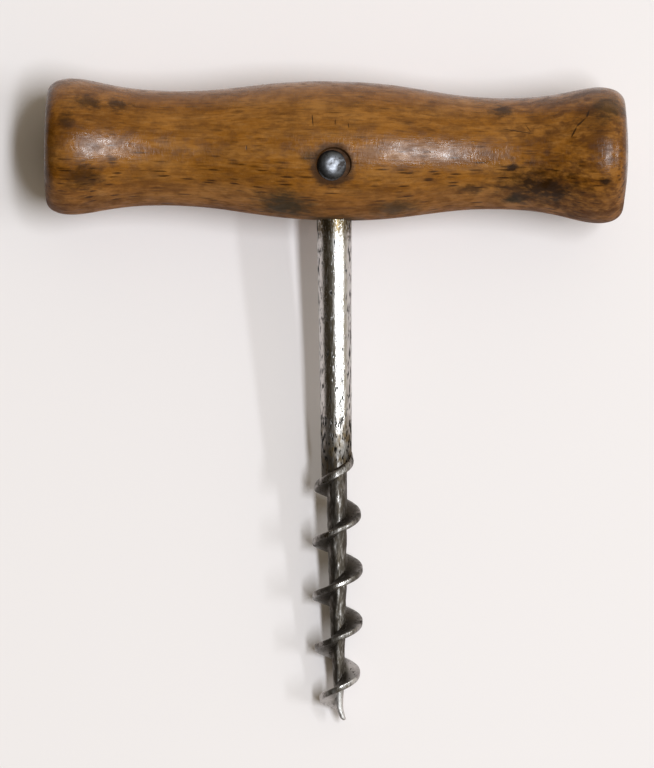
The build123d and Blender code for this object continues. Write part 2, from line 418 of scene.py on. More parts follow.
def handle_outline(handle):
    """The handle's half outline from its left pole to its right pole, as Bezier knots."""
    left = HANDLE_LOW.x
    right = HANDLE_HIGH.x
    left_pole, left_edge, left_lead, left_crest = outline_end(
        left, 1, handle.left_crest_diameter, handle.left_crest_inset,
        handle.left_face_diameter, handle.left_face_dome)
    right_pole, right_edge, right_lead, right_crest = outline_end(
        right, -1, handle.right_crest_diameter, handle.right_crest_inset,
        handle.right_face_diameter, handle.right_face_dome)
    left_neck = (left + handle.left_neck_inset, handle.left_neck_diameter / 2)
    swell = (left + handle.swell_inset, handle.swell_diameter / 2)
    right_neck = (right - handle.right_neck_inset, handle.right_neck_diameter / 2)
    places = (
        (left_crest, CREST_EASE, CREST_EASE),
        (left_neck, NECK_TO_CREST, NECK_TO_SWELL),
        (swell, SWELL_EASE, SWELL_EASE),
        (right_neck, NECK_TO_SWELL, NECK_TO_CREST),
        (right_crest, CREST_EASE, CREST_EASE),
    )
    knots = [left_pole, left_edge]
    for i, ((along, radius), ease_before, ease_after) in enumerate(places):
        before = left_lead
        after = right_lead
        if i > 0:
            before = (along - ease_before * (along - places[i - 1][0][0]), radius)
        if i < len(places) - 1:
            after = (along + ease_after * (places[i + 1][0][0] - along), radius)
        knots.append((before, (along, radius), after))
    knots += [right_edge[::-1], right_pole[::-1]]
    return knots


# Marks on the handle: millimetres from its middle, degrees round from straight up towards the
# worm, half length and half width in millimetres, degrees that the mark is turned, and strength.
STAINS_AND_END_SHADE = (
    (-43.0, -40, 3.0, 1.8, 0, 0.75),
    (-38.0, -42, 3.0, 1.8, 0, 0.75),
    (-46.7, -20, 1.6, 1.6, 0, 0.7),
    (-43.5, 30, 3.6, 3.2, 0, 0.65),
    # This band round the left end's rim is partly old stain and partly painted shade, where the end
    # turns from the light.
    (-49.6, 10, 1.3, 9.0, 0, 0.4),
    (28.5, -49, 2.4, 2.2, 0, 0.8),
    (30.5, 17, 1.3, 1.1, 0, 0.95),
    (35.6, 38, 9.0, 5.6, 4, 0.75),
    (36.0, 38, 6.6, 3.8, 4, 0.95),
    (32.0, 50, 3.0, 2.2, 0, 0.8),
    (23.5, 41, 2.4, 1.6, 0, 0.7),
    (46.4, 25, 1.2, 1.1, 0, 0.9),
    (44.5, -30, 3.6, 2.6, 0, 0.35),
)
SMUDGES = (
    (-9.0, 58, 6.4, 4.6, 0, 0.95),
    (10.5, 61, 5.0, 3.2, 0, 0.75),
    # This one darkens the wood round the shank's mouth.
    (-0.3, 86, 7.0, 4.4, 0, 0.85),
    (31.0, 56, 2.6, 2.0, 0, 0.95),
    (47.0, -44, 4.2, 3.8, 0, 0.65),
    (-4.7, 7, 1.8, 1.5, 0, 0.5),
)
SCRATCHES = (
    (-4.3, -23, 1.3, 0.13, 84, 0.85),
    (-0.4, -21.5, 0.6, 0.12, 90, 0.75),
    (1.9, -19, 0.7, 0.12, 80, 0.75),
    (-15.6, 1, 0.5, 0.13, 90, 0.75),
    (31.3, -21, 3.6, 0.13, 11, 0.75),
    (33.0, -24, 1.2, 0.12, 60, 0.6),
    (40.8, -18, 1.5, 0.24, -63, 0.85),
    (42.1, -27.5, 1.7, 0.24, -44, 0.85),
    (43.2, -35, 1.1, 0.24, -72, 0.85),
)
# Millimetres from the handle's axis at which its surface is unrolled for the marks.
UNROLL_RADIUS = 11.0


def add_marks(tree, unrolled, ragged, marks, raggedness, start, full):
    """The strongest of a list of soft-edged marks on the unrolled surface."""
    strongest = None
    for along, degrees_round, half_length, half_width, degrees_turned, strength in marks:
        centre = (along, radians(degrees_round) * UNROLL_RADIUS, 0)
        away = add_node(tree, VECTOR_MATH, (unrolled, centre), operation="SUBTRACT")
        turned = add_node(
            tree, "ShaderNodeVectorRotate", {"Vector": away, "Angle": -radians(degrees_turned)},
            rotation_type="Z_AXIS")
        shares = (1 / half_length, 1 / half_width, 0)
        scaled = add_node(tree, VECTOR_MATH, (turned, shares), operation="MULTIPLY")
        far = add_node(tree, VECTOR_MATH, (scaled,), operation="LENGTH").outputs["Value"]
        edge = add_node(tree, MATH, (ragged, -raggedness, far), operation="MULTIPLY_ADD")
        mark = add_node(
            tree, MAP_RANGE, (edge, start - raggedness / 2, full - raggedness / 2, 0.0, strength),
            interpolation_type="SMOOTHSTEP")
        if strongest:
            mark = add_node(tree, MATH, (strongest, mark), operation="MAXIMUM")
        strongest = mark
    return strongest


def aged_beech(handle, rivet):
    """Beech, turned, oiled and worn by hands for decades.

    It gives the eye a warm brown with fine streaks along the billet, short dark ray flecks, old
    stains, painted shade in the rivet's seats and round the left end, and a satin gloss that scuffs
    break up.
    """
    material, tree = new_material("aged_beech")
    axis = handle_axis(handle)
    place = add_node(tree, COORDINATES).outputs["Object"]
    # Millimetres from the handle's axis, with the second one growing towards the worm.
    to_axis = (0, axis.y / MM, -axis.z / MM)
    to_millimetres = (1 / MM, -1 / MM, 1 / MM)
    billet = add_node(
        tree, "ShaderNodeMapping", {"Vector": place, "Location": to_axis, "Scale": to_millimetres})
    split = add_node(tree, "ShaderNodeSeparateXYZ", (billet,))
    along_handle = split.outputs["X"]
    end_away = add_node(tree, MATH, (along_handle,), operation="ABSOLUTE")
    angle = add_node(tree, MATH, (split.outputs["Y"], split.outputs["Z"]), operation="ARCTAN2")
    round_place = add_node(tree, MATH, (angle, UNROLL_RADIUS), operation="MULTIPLY")
    unrolled = add_node(tree, "ShaderNodeCombineXYZ", {"X": along_handle, "Y": round_place})

    # Patterns: millimetres along the grain and across it, and how much detail they have. The fibre
    # is drawn coarser than real fibre so that it shows.
    layers = {}
    for name, along, across, detail in (
        ("growth", 22.0, 4.0, 3.0),
        ("streak", 9.0, 0.9, 3.0),
        ("fibre", 2.6, 0.3, 3.0),
        ("mottle", 2.2, 1.4, 5.0),
        ("blotch", 5.5, 3.2, 4.0),
        ("scuff", 0.6, 1.2, 3.0),
        ("patch", 6.0, 3.5, 3.0),
        ("ragged", 1.8, 1.0, 5.0),
    ):
        shares = (1 / along, 1 / across, 1 / across)
        scaled = add_node(tree, VECTOR_MATH, (billet, shares), operation="MULTIPLY")
        layers[name] = add_node(
            tree, NOISE, {"Vector": scaled, "Scale": 1.0, "Detail": detail, "Roughness": 0.62})

    # Ray flecks, drawn about twice as coarse as real ones so that they show.
    fleck_length, fleck_width = 4.2, 0.5
    fleck_shares = (1 / fleck_length, 1 / fleck_width, 1 / fleck_width)
    fleck_place = add_node(tree, VECTOR_MATH, (billet, fleck_shares), operation="MULTIPLY")
    fleck_cells = add_node(tree, "ShaderNodeTexVoronoi", {"Vector": fleck_place, "Scale": 1.0})
    fleck_draw = add_node(tree, "ShaderNodeSeparateColor", (fleck_cells.outputs["Color"],))

    # How strongly each layer shows: what it follows, where it starts, where it is full, and its
    # least and most.
    for name, value, start, full, least, most in (
        ("pale_growth", layers["growth"], 0.55, 0.3, 0.0, 0.5),
        ("deep_growth", layers["growth"], 0.5, 0.75, 0.0, 0.38),
        ("deep_streak", layers["streak"], 0.5, 0.72, 0.0, 0.38),
        ("pale_streak", layers["streak"], 0.46, 0.28, 0.0, 0.45),
        ("deep_fibre", layers["fibre"], 0.52, 0.72, 0.0, 0.45),
        ("pale_fibre", layers["fibre"], 0.46, 0.3, 0.0, 0.4),
        ("mottle_mark", layers["mottle"], 0.46, 0.62, 0.0, 1.0),
        ("blotch_mark", layers["blotch"], 0.44, 0.6, 0.0, 0.9),
        ("right_end", along_handle, 22.0, 44.0, 0.38, 0.8),
        ("left_end", along_handle, -32.0, -46.0, 0.38, 0.5),
        ("end_grime", end_away, 34.0, 49.0, 0.0, 0.18),
        ("edge_grime", end_away, 48.8, 50.4, 0.0, 0.45),
        ("under_side", angle, -0.1, 0.45, 0.45, 1.0),
        ("gloss", layers["mottle"], 0.36, 0.62, 0.15, 0.38),
        ("dull_side", angle, 0.4, 1.0, 0.0, 0.45),
        ("scuffed", layers["patch"], 0.4, 0.6, 0.15, 1.0),
        ("fleck_chosen", fleck_draw, 0.45, 0.8, 0.0, 0.9),
        ("fleck_core", fleck_cells, 0.46, 0.2, 0.0, 1.0),
    ):
        layers[name] = add_node(tree, MAP_RANGE, (value, start, full, least, most))

    # Dirt packed into the rivet's seats, darkened further as painted shade of the recess, by the ragged
    # distance from the rivet's axis.
    seat_raggedness = 2.4
    seat_dirt_and_shade_starts = 3.3
    seat_dirt_and_shade_full = 1.9
    most_seat_dirt_and_shade = 0.8
    across_rivet = HANDLE_RIGHT * rivet.side_place - TOOL_UP * rivet.drop
    rivet_place = (across_rivet.x / MM, -across_rivet.y / MM, across_rivet.z / MM)
    rivet_way = (TOOL_FRONT.x, -TOOL_FRONT.y, TOOL_FRONT.z)
    off_rivet = add_node(tree, VECTOR_MATH, (billet, rivet_place), operation="SUBTRACT")
    off_axis = add_node(tree, VECTOR_MATH, (off_rivet, rivet_way), operation="CROSS_PRODUCT")
    seat_away = add_node(tree, VECTOR_MATH, (off_axis,), operation="LENGTH").outputs["Value"]
    seat_terms = (layers["ragged"], -seat_raggedness, seat_away)
    seat_edge = add_node(tree, MATH, seat_terms, operation="MULTIPLY_ADD")
    layers["seat_dirt"] = add_node(
        tree, MAP_RANGE, (seat_edge, seat_dirt_and_shade_starts, seat_dirt_and_shade_full, 0.0, most_seat_dirt_and_shade),
        interpolation_type="SMOOTHSTEP")

    for name, pattern, marks, raggedness, start, full in (
        ("stains", "ragged", STAINS_AND_END_SHADE, 2.4, 1.2, 0.2),
        ("smudges", "ragged", SMUDGES, 1.6, 1.15, 0.15),
        ("scratches", "mottle", SCRATCHES, 0.8, 1.0, 0.45),
    ):
        layers[name] = add_marks(tree, unrolled, layers[pattern], marks, raggedness, start, full)

    # What the layers make together: a name, how its terms are put together, and the terms.
    dirt_dullness = 0.5
    for name, operation, *terms in (
        ("flecks", "MULTIPLY", "fleck_chosen", "fleck_core"),
        ("flecks", "MULTIPLY", "flecks", "under_side"),
        ("ends", "MAXIMUM", "right_end", "left_end"),
        ("end_mottle", "MULTIPLY", "ends", "mottle_mark"),
        ("end_blotch", "MULTIPLY", "ends", "blotch_mark"),
        ("marks_and_painted_shade", "MAXIMUM", "stains", "scratches"),
        # The seat mask adds packed dirt and painted shade of the recess.
        ("marks_and_painted_shade", "MAXIMUM", "marks_and_painted_shade", "seat_dirt"),
        # Packed dirt is dull, and so is the side towards the worm, which hands don't rub.
        ("gloss", "ADD", "dull_side", "gloss"),
        ("gloss", "MULTIPLY_ADD", "seat_dirt", dirt_dullness, "gloss"),
    ):
        values = [layers.get(term, term) for term in terms]
        layers[name] = add_node(tree, MATH, values, operation=operation)

    paint = opaque(handle.body_colour)
    for name, layer_colour in (
        ("pale_growth", handle.pale_colour),
        ("deep_growth", handle.deep_colour),
        ("deep_streak", handle.deep_colour),
        ("pale_streak", handle.pale_colour),
        ("deep_fibre", handle.deep_colour),
        ("pale_fibre", handle.pale_colour),
        ("end_grime", handle.deep_colour),
        ("end_blotch", handle.deep_colour),
        ("end_mottle", handle.deep_colour),
        ("edge_grime", handle.fleck_colour),
        ("flecks", handle.fleck_colour),
        ("smudges", handle.smudge_colour),
        # The stain colour also paints shade in the rivet's seats and round the left end.
        ("marks_and_painted_shade", handle.stain_and_shade_colour),
    ):
        links = {0: layers[name], MIX_A: paint, MIX_B: opaque(layer_colour)}
        paint = add_node(tree, MIX, links, data_type="RGBA").outputs[MIX_RESULT]

    # Relief: a layer, how strongly it shows, how far it reaches in millimetres, and if it is sunk.
    relief = None
    for name, strength, reach, sunk in (
        ("fibre", 0.6, 0.05, False),
        ("scuff", layers["scuffed"], 0.07, False),
        ("scratches", 0.4, 0.06, True),
    ):
        links = {"Height": layers[name], "Strength": strength, "Distance": reach * MM}
        if relief:
            links["Normal"] = relief
        relief = add_node(tree, BUMP, links, invert=sunk)
    shader = add_node(
        tree, PRINCIPLED,
        {"Base Color": paint, "Roughness": layers["gloss"], "Normal": relief, "IOR": 1.35})
    add_node(tree, SURFACE, {"Surface": shader})
    return material


# The mesh attribute that says how much a cork has rubbed each point of the blade's rim.
RIM_ATTRIBUTE = "rim_wear"


def pitted_steel(handle, worm):
    """Carbon steel, drawn, forged and once polished, pitted by damp and kept bright at the rims.

    It gives the eye hard-edged dark and white reflections along the shank, black pits, brown rust
    by the handle and the blade's start, a darker worm with bright rims, rubbed patches on the core
    that are partly painted sheen, and a painted reflection on the last turn's web.
    """
    material, tree = new_material("pitted_steel")
    origin = shank_origin(handle)
    place = add_node(tree, COORDINATES).outputs["Object"]
    grid = add_node(tree, VECTOR_MATH, (place, (1 / MM,) * 3), operation="MULTIPLY")
    # Millimetres down the shank from the handle's axis, and out to either side of the shank.
    layers = {}
    for name, way in (("level", SHANK_DOWN), ("side", SHANK_RIGHT)):
        far = add_node(tree, VECTOR_MATH, (grid, way), operation="DOT_PRODUCT").outputs["Value"]
        layers[name] = add_node(tree, MATH, (far, origin.dot(way) / MM), operation="SUBTRACT")
    layers["side"] = add_node(tree, MATH, (layers["side"],), operation="ABSOLUTE")

    # Patterns: millimetres along the bar and across it, and how much detail they have. The draw
    # lines and the grain are drawn coarser than real ones so that they show.
    for name, along, across, detail in (
        ("draw", 5.0, 0.26, 4.0),
        ("cloud", 2.4, 1.2, 5.0),
        ("ragged", 0.8, 0.5, 5.0),
        ("pit", 1.5, 0.38, 2.0),
        ("grain", 0.5, 0.22, 3.0),
        ("rub", 2.0, 0.45, 4.0),
    ):
        shares = (1 / across, 1 / along, 1 / across)
        scaled = add_node(tree, VECTOR_MATH, (grid, shares), operation="MULTIPLY")
        layers[name] = add_node(
            tree, NOISE, {"Vector": scaled, "Scale": 1.0, "Detail": detail, "Roughness": 0.6})
    varnish_raggedness = 8.0
    level_terms = (layers["ragged"], -varnish_raggedness, layers["level"])
    layers["ragged_level"] = add_node(tree, MATH, level_terms, operation="MULTIPLY_ADD")
    layers["rim"] = add_node(tree, "ShaderNodeAttribute", attribute_name=RIM_ATTRIBUTE).outputs["Fac"]

    # Where each kind of wear lies: what it follows, where it starts, where it is full, and its
    # least and most.
    for name, value, start, full, least, most in (
        ("pit_side", "side", 1.7, 2.6, 0.05, 0.14),
        ("pit_low", "level", 42.0, 50.0, 0.0, 0.085),
        ("pit_bar", "level", 57.0, 51.0, 0.15, 1.0),
        ("varnish_zone", "ragged_level", 11.9, 9.6, 0.0, 0.92),
        ("worm_zone", "level", 46.5, 54.0, 0.0, 1.0),
        ("tip_zone", "level", 93.0, 96.5, 0.0, 0.95),
        # Brighter steel on the last turn's web is a painted reflection of the lit floor.
        ("web_reflection_level", "level", 86.5, 91.0, 0.0, 0.95),
        ("web_reflection_side", "side", 1.2, 1.9, 0.0, 1.0),
        ("rust_start", "level", 40.0, 49.0, 0.05, 0.85),
        ("rust_end", "level", 60.0, 52.0, 0.08, 1.0),
        ("rust_cloud", "cloud", 0.44, 0.62, 0.0, 1.0),
        ("rim_cloud", "cloud", 0.42, 0.58, 0.1, 1.0),
        # Rubbed patches on the core's front and back, partly real wear and partly painted sheen.
        ("rub_and_sheen_patch", "rub", 0.48, 0.68, 0.0, 0.65),
        ("rub_and_sheen_core", "side", 1.9, 1.4, 0.0, 1.0),
        ("bare_speck", "grain", 0.64, 0.52, 0.15, 1.0),
        ("polish", "draw", 0.35, 0.65, 0.12, 0.32),
        ("beaten", "level", 46.5, 54.0, 0.5, 1.0),
    ):
        layers[name] = add_node(tree, MAP_RANGE, (layers[value], start, full, least, most))

    # What the layers make together: a name, how its terms are put together, and the terms. Only
    # the forged surface is a difference, and it stops at nothing.
    for name, operation, *terms in (
        # Pits lie thickest along the shank's sides and by the blade's start, where damp was left.
        ("pit_depth", "ADD", "pit_side", "pit_low"),
        ("pit_depth", "MULTIPLY_ADD", "pit_depth", "pit_bar", "pit"),
        ("rust", "MULTIPLY", "rust_start", "rust_end"),
        ("rust", "MULTIPLY", "rust", "rust_cloud"),
        ("varnish", "MULTIPLY", "varnish_zone", "bare_speck"),
        ("dirt", "MAXIMUM", "rust", "varnish"),
        # The web's painted reflection joins the bare tip's brighter steel.
        ("painted_web_reflection", "MULTIPLY", "web_reflection_level", "web_reflection_side"),
        ("bright", "MAXIMUM", "painted_web_reflection", "tip_zone"),
        # The cork has rubbed the core bright in ragged patches, which lie on the core's front and back
        # and are partly painted sheen.
        ("worn", "MULTIPLY", "rub_and_sheen_patch", "rub_and_sheen_core"),
        ("worn", "MULTIPLY", "worn", "worm_zone"),
        ("rim", "MULTIPLY", "rim", "rim_cloud"),
        ("rim", "MAXIMUM", "rim", "worn"),
        # The worm was never polished, and only its rims are rubbed smooth.
        ("forged", "SUBTRACT", "worm_zone", "rim"),
    ):
        values = [layers[term] for term in terms]
        layers[name] = add_node(
            tree, MATH, values, operation=operation, use_clamp=operation == "SUBTRACT")
    pit_edge = 0.67
    pit_floor = 0.72
    most_pit = 0.95
    pit_span = (layers["pit_depth"], pit_edge, pit_floor, 0.0, most_pit)
    layers["pits"] = add_node(tree, MAP_RANGE, pit_span)

    paint = opaque(worm.steel_colour)
    for name, layer_colour in (
        ("worm_zone", worm.worm_colour),
        # Brighter steel for the bare tip, and as a painted reflection on the web.
        ("bright", worm.steel_colour),
        ("rust", worm.rust_colour),
        ("varnish", worm.varnish_colour),
        # The rim colour also paints the sheen patches on the core.
        ("rim", worm.rim_colour),
        ("pits", worm.pit_colour),
    ):
        links = {0: layers[name], MIX_A: paint, MIX_B: opaque(layer_colour)}
        paint = add_node(tree, MIX, links, data_type="RGBA").outputs[MIX_RESULT]

    gloss = layers["polish"]
    for name, dullness in (("dirt", 0.16), ("pits", 0.4), ("forged", 0.32)):
        gloss = add_node(tree, MATH, (layers[name], dullness, gloss), operation="MULTIPLY_ADD")

    # Relief: a layer, how strongly it shows, how far it reaches in millimetres, and if it is sunk.
    relief = None
    for name, strength, reach, sunk in (
        ("draw", 0.5, 0.018, False),
        ("grain", 0.8, 0.04, False),
        ("cloud", layers["beaten"], 0.06, False),
        ("pits", 0.35, 0.05, True),
    ):
        links = {"Height": layers[name], "Strength": strength, "Distance": reach * MM}
        if relief:
            links["Normal"] = relief
        relief = add_node(tree, BUMP, links, invert=sunk)
    shader = add_node(
        tree, PRINCIPLED, {"Base Color": paint, "Metallic": 1.0, "Roughness": gloss, "Normal": relief})
    add_node(tree, SURFACE, {"Surface": shader})
    return material


def hammered_iron(handle, rivet):
    """Wrought iron, hammered cold into a dome and darkened by age.

    It gives the eye a dark grey dome with one torn highlight, dirt in its hollows and painted shade on
    its right.
    """
    material, tree = new_material("hammered_iron")
    place = add_node(tree, COORDINATES).outputs["Object"]
    grain = 0.8 * MM
    grid = add_node(tree, VECTOR_MATH, (place, (1 / grain,) * 3), operation="MULTIPLY")
    tarnish_and_shade = add_node(tree, NOISE, {"Vector": grid, "Scale": 1.0, "Detail": 4.0, "Roughness": 0.6})
    # Grime and painted shade lie thicker on the right of the dome, against the seat's wall.
    middle = rivet_middle(handle, rivet)
    unshaded_side = middle.x + 0.6 * MM
    shaded_side = middle.x + rivet.head_diameter / 2
    most_grime_and_shade = 0.32
    right = add_node(tree, "ShaderNodeSeparateXYZ", (place,)).outputs["X"]
    painted_right_shade = add_node(tree, MAP_RANGE, (right, unshaded_side, shaded_side, 0.0, most_grime_and_shade))
    tarnish_and_shade = add_node(tree, MATH, (tarnish_and_shade, painted_right_shade), operation="ADD")
    # Dirt with painted shade, and dullness, follow the tarnish and the painted shade: where they start
    # and are full, their least and most.
    dirt = add_node(tree, MAP_RANGE, (tarnish_and_shade, 0.52, 0.72, 0.0, 0.8))
    gloss = add_node(tree, MAP_RANGE, (tarnish_and_shade, 0.3, 0.8, 0.28, 0.5))
    links = {0: dirt, MIX_A: opaque(rivet.iron_colour), MIX_B: opaque(rivet.grime_and_shade_colour)}
    paint = add_node(tree, MIX, links, data_type="RGBA").outputs[MIX_RESULT]
    dents = add_node(tree, BUMP, {"Height": tarnish_and_shade, "Strength": 0.3, "Distance": 0.06 * MM})
    shader = add_node(
        tree, PRINCIPLED, {"Base Color": paint, "Metallic": 1.0, "Roughness": gloss, "Normal": dents})
    add_node(tree, SURFACE, {"Surface": shader})
    return material


def plain_paper(stage):
    """Matt paper: an even pale floor with soft shadows and no gloss."""
    material, tree = new_material("plain_paper")
    shader = add_node(
        tree, PRINCIPLED,
        {"Base Color": opaque(stage.floor_colour), "Roughness": 0.95, "Specular IOR Level": 0.0})
    add_node(tree, SURFACE, {"Surface": shader})
    return material


# How finely the pieces are divided.
OUTLINE_STEPS = 36
HANDLE_SIDES = 160
RIVET_STEPS = 14
RIVET_SIDES = 72
CUTTER_SIDES = 96
ROWS_PER_TURN = 96
SHANK_ROW = 0.8 * MM
RIM_COLUMNS = 12
FLANK_COLUMNS = 12
FLOOR_COLUMNS = 56

# How wide the hollows and dents are that each way of working leaves.
TURNING_SIZE = 9.0 * MM
FORGING_SIZE = 3.5 * MM
HAMMER_SIZE = 1.4 * MM
LUMP_SIZE = 1.5 * MM

# The blade's section: turns over which its rim changes thickness at either end, and the powers
# of its fade, its hollow flank, its worn corners and its brightness.
RIM_EASE_TURNS = 1.2
FADE_POWER = 0.6
FLANK_POWER = 1.5
CORNER_POWER = 4
BRIGHT_POWER = 6
# Nicks and fine nicks to a turn, where in the noise each is taken, and how deep the middle one
# is, as a share of the deepest.
NICKS = 3.1
FINE_NICKS = 9.7
NICK_PLACE = (0.7, 0.2)
FINE_NICK_PLACE = (4.2, 1.3)
MIDDLE_NICK = 0.75
# How much fine unevenness goes with the coarse, as a share of its depth.
FINE_SHARE = 0.5
# Fine dents to a coarse one, how much longer than wide dents are, the share of a dent that the
# rim is spared, the radius from which dents are full, and the height from which rims are bright.
FINE_LUMPS = 2.3
LUMP_STRETCH = 2
RIM_SPARED = 0.7
FULL_DENT_RADIUS = 1.5 * MM
FULL_BRIGHT_HEIGHT = 1.2 * MM
# The most that the point is rounded off, short of closing to nothing.
ROUNDEST = 0.995


class WormShape:
    """The worm's radius at any turn and any angle off the blade."""

    def __init__(self, worm):
        self.worm = worm
        self.shank_radius = worm.shank_end_diameter / 2
        self.blade_end = self.reach(worm.worm_turns)
        self.point_end = self.blade_end + worm.point_length
        self.last_turn = worm.worm_turns + worm.point_length / worm.pitch_last

    def pitch(self, turn):
        """Rise of the blade in one turn, easing from the first to the last."""
        worm = self.worm
        easing = worm.pitch_first - worm.pitch_last
        return worm.pitch_first - easing * min(turn, worm.worm_turns) / worm.worm_turns

    def reach(self, turn):
        """From the handle's axis down the shank to a turn of the blade."""
        worm = self.worm
        wound = min(turn, worm.worm_turns)
        rise = (worm.pitch_first + self.pitch(wound)) / 2 * wound
        return worm.worm_start + rise + worm.pitch_last * (turn - wound)

    def core_radius(self, turn):
        """Radius of the tapering core, down to the rounded end of the point."""
        worm = self.worm
        share = clamp(turn / worm.worm_turns)
        taper = (worm.core_diameter - worm.core_end_diameter) * share ** worm.core_taper
        past = clamp((self.reach(turn) - self.blade_end) / worm.point_length)
        taper += (worm.core_end_diameter - worm.point_end_diameter) * past
        tapered = (worm.core_diameter - taper) / 2
        to_end = (self.point_end - self.reach(turn)) / (worm.point_end_diameter / 2)
        rounding = min(clamp(1 - to_end), ROUNDEST)
        return tapered * sqrt(1 - rounding ** 2)

    def floor_radius(self, turn, groove_turn):
        """Radius of the groove's floor, which sinks from the shank to the core."""
        deep = ease(groove_turn / self.worm.groove_rise)
        return self.shank_radius + (self.core_radius(turn) - self.shank_radius) * deep

    def blade_radius(self, turn):
        """Radius over the rim, which rises, swells in the middle and fades."""
        worm = self.worm
        middle = 2 * turn / worm.worm_turns - 1
        end = worm.blade_first_diameter if middle < 0 else worm.blade_last_diameter
        full = (worm.blade_diameter + (end - worm.blade_diameter) * middle ** 2) / 2
        rim = self.shank_radius + (full - self.shank_radius) * ease(turn / worm.blade_rise)
        core = self.core_radius(turn)
        left = clamp((worm.worm_turns - turn) / worm.blade_fade)
        return core + (rim - core) * ease(left ** FADE_POWER)

    def side_shift(self, reach):
        """How far the bent point has left the shank's axis."""
        bend = clamp(1 - (self.point_end - reach) / self.worm.point_bend_length)
        return self.worm.point_bend * bend ** 2

    def section(self, turn):
        """Angle off the blade's middle, radius and rim wear of each column at one turn."""
        worm = self.worm
        first = clamp(1 - turn / RIM_EASE_TURNS)
        last = clamp(turn - worm.worm_turns + RIM_EASE_TURNS)
        thickness = worm.rim_thickness + (worm.rim_first_thickness - worm.rim_thickness) * first
        thickness += (worm.rim_end_thickness - worm.rim_thickness) * last
        half_rim = pi * thickness / self.pitch(turn)
        half_root = pi * worm.root_thickness / self.pitch(turn)
        flank_width = half_root - half_rim
        floor_width = 2 * pi - 2 * half_root
        rim_radius = self.blade_radius(turn)
        height = max(rim_radius - self.floor_radius(turn, turn), 0.0)
        nick = noise.noise(Vector((turn * NICKS, *NICK_PLACE)))
        nick += FINE_SHARE * noise.noise(Vector((turn * FINE_NICKS, *FINE_NICK_PLACE)))
        rim_radius -= min(worm.rim_nick * (MIDDLE_NICK + nick / 2), height / 2)

        stations = [half_rim * (2 * i / RIM_COLUMNS - 1) for i in range(RIM_COLUMNS)]
        stations += [half_rim + flank_width * i / FLANK_COLUMNS for i in range(FLANK_COLUMNS)]
        stations += [half_root + floor_width * i / FLOOR_COLUMNS for i in range(FLOOR_COLUMNS)]
        far_root = 2 * pi - half_root
        stations += [far_root + flank_width * i / FLANK_COLUMNS for i in range(FLANK_COLUMNS + 1)]
        columns = []
        for off in stations:
            away = abs(off) if off < pi else 2 * pi - off
            floor = self.floor_radius(turn, turn - max(off, 0.0) / 2 / pi)
            flank = clamp((away - half_rim) / flank_width)
            stand = (1 - flank) ** FLANK_POWER
            corner = min(away / half_rim, 1.0) ** CORNER_POWER
            crown = min(worm.rim_wear, height / 3) * corner * (1 - flank)
            radius = floor + (rim_radius - floor) * stand - crown
            angle = off - 2 * pi * turn
            down = self.reach(turn) / LUMP_STRETCH
            place = Vector((radius * cos(angle), radius * sin(angle), down)) / LUMP_SIZE
            lump = noise.noise(place) + FINE_SHARE * noise.noise(place * FINE_LUMPS)
            dent = worm.forging_lump * clamp((1 + lump) / 2) * clamp(turn)
            radius -= dent * (1 - RIM_SPARED * stand) * min(radius / FULL_DENT_RADIUS, 1.0)
            wear = (1 - flank) ** BRIGHT_POWER * clamp(height / FULL_BRIGHT_HEIGHT)
            columns.append((off, radius, wear))
        return columns


class CORKSCREW_OT_turn_handle(bpy.types.Operator):
    """Turn the handle from its outline, bore it, cut the rivet's seats and oil it"""

    bl_idname = "corkscrew.turn_handle"
    bl_label = "Turn Handle"
    bl_options = {"REGISTER", "UNDO"}

    def execute(self, context):
        handle = context.scene.corkscrew_handle
        worm = context.scene.corkscrew_worm
        rivet = context.scene.corkscrew_rivet
        axis = handle_axis(handle)
        line = Vector((0.0, axis.y, axis.z))
        outline = handle_outline(handle)
        piece = turn_outline(
            "turned_handle", outline, OUTLINE_STEPS, HANDLE_SIDES, line, TOOL_FRONT, HANDLE_RIGHT)
        hollow_surface(piece, "turning_waves", handle.turning_wave, TURNING_SIZE)

        bore_depth = handle.swell_diameter
        end_room = 0.4 * MM
        bore_middle = shank_origin(handle) + SHANK_DOWN * (bore_depth / 2 - worm.tang_reach - end_room)
        deselect_all()
        bpy.ops.mesh.primitive_cylinder_add(
            vertices=CUTTER_SIDES,
            radius=worm.tang_diameter / 2 + handle.bore_gap,
            depth=bore_depth,
            location=bore_middle,
            rotation=SHANK_DOWN.to_track_quat("Z", "Y").to_euler(),
        )
        cut(piece, context.object)

        floor_level = seat_height(handle, rivet)
        cutter_height = 3 * rivet.seat_depth
        flare = rivet.seat_flare / 2 * cutter_height / rivet.seat_depth
        for side, shift, dirt in ((1, rivet.seat_shift, rivet.seat_dirt), (-1, 0.0, 0.0)):
            out = TOOL_FRONT * side
            seat_middle = rivet_middle(handle, rivet) + HANDLE_RIGHT * shift
            seat_middle += out * (floor_level + dirt + cutter_height / 2)
            deselect_all()
            bpy.ops.mesh.primitive_cone_add(
                vertices=CUTTER_SIDES,
                radius1=rivet.seat_diameter / 2,
                radius2=rivet.seat_diameter / 2 + flare,
                depth=cutter_height,
                location=seat_middle,
                rotation=out.to_track_quat("Z", "Y").to_euler(),
            )
            cut(piece, context.object)
        finish_piece(piece, aged_beech(handle, rivet), "handle", smooth_angle=radians(35))
        return {"FINISHED"}


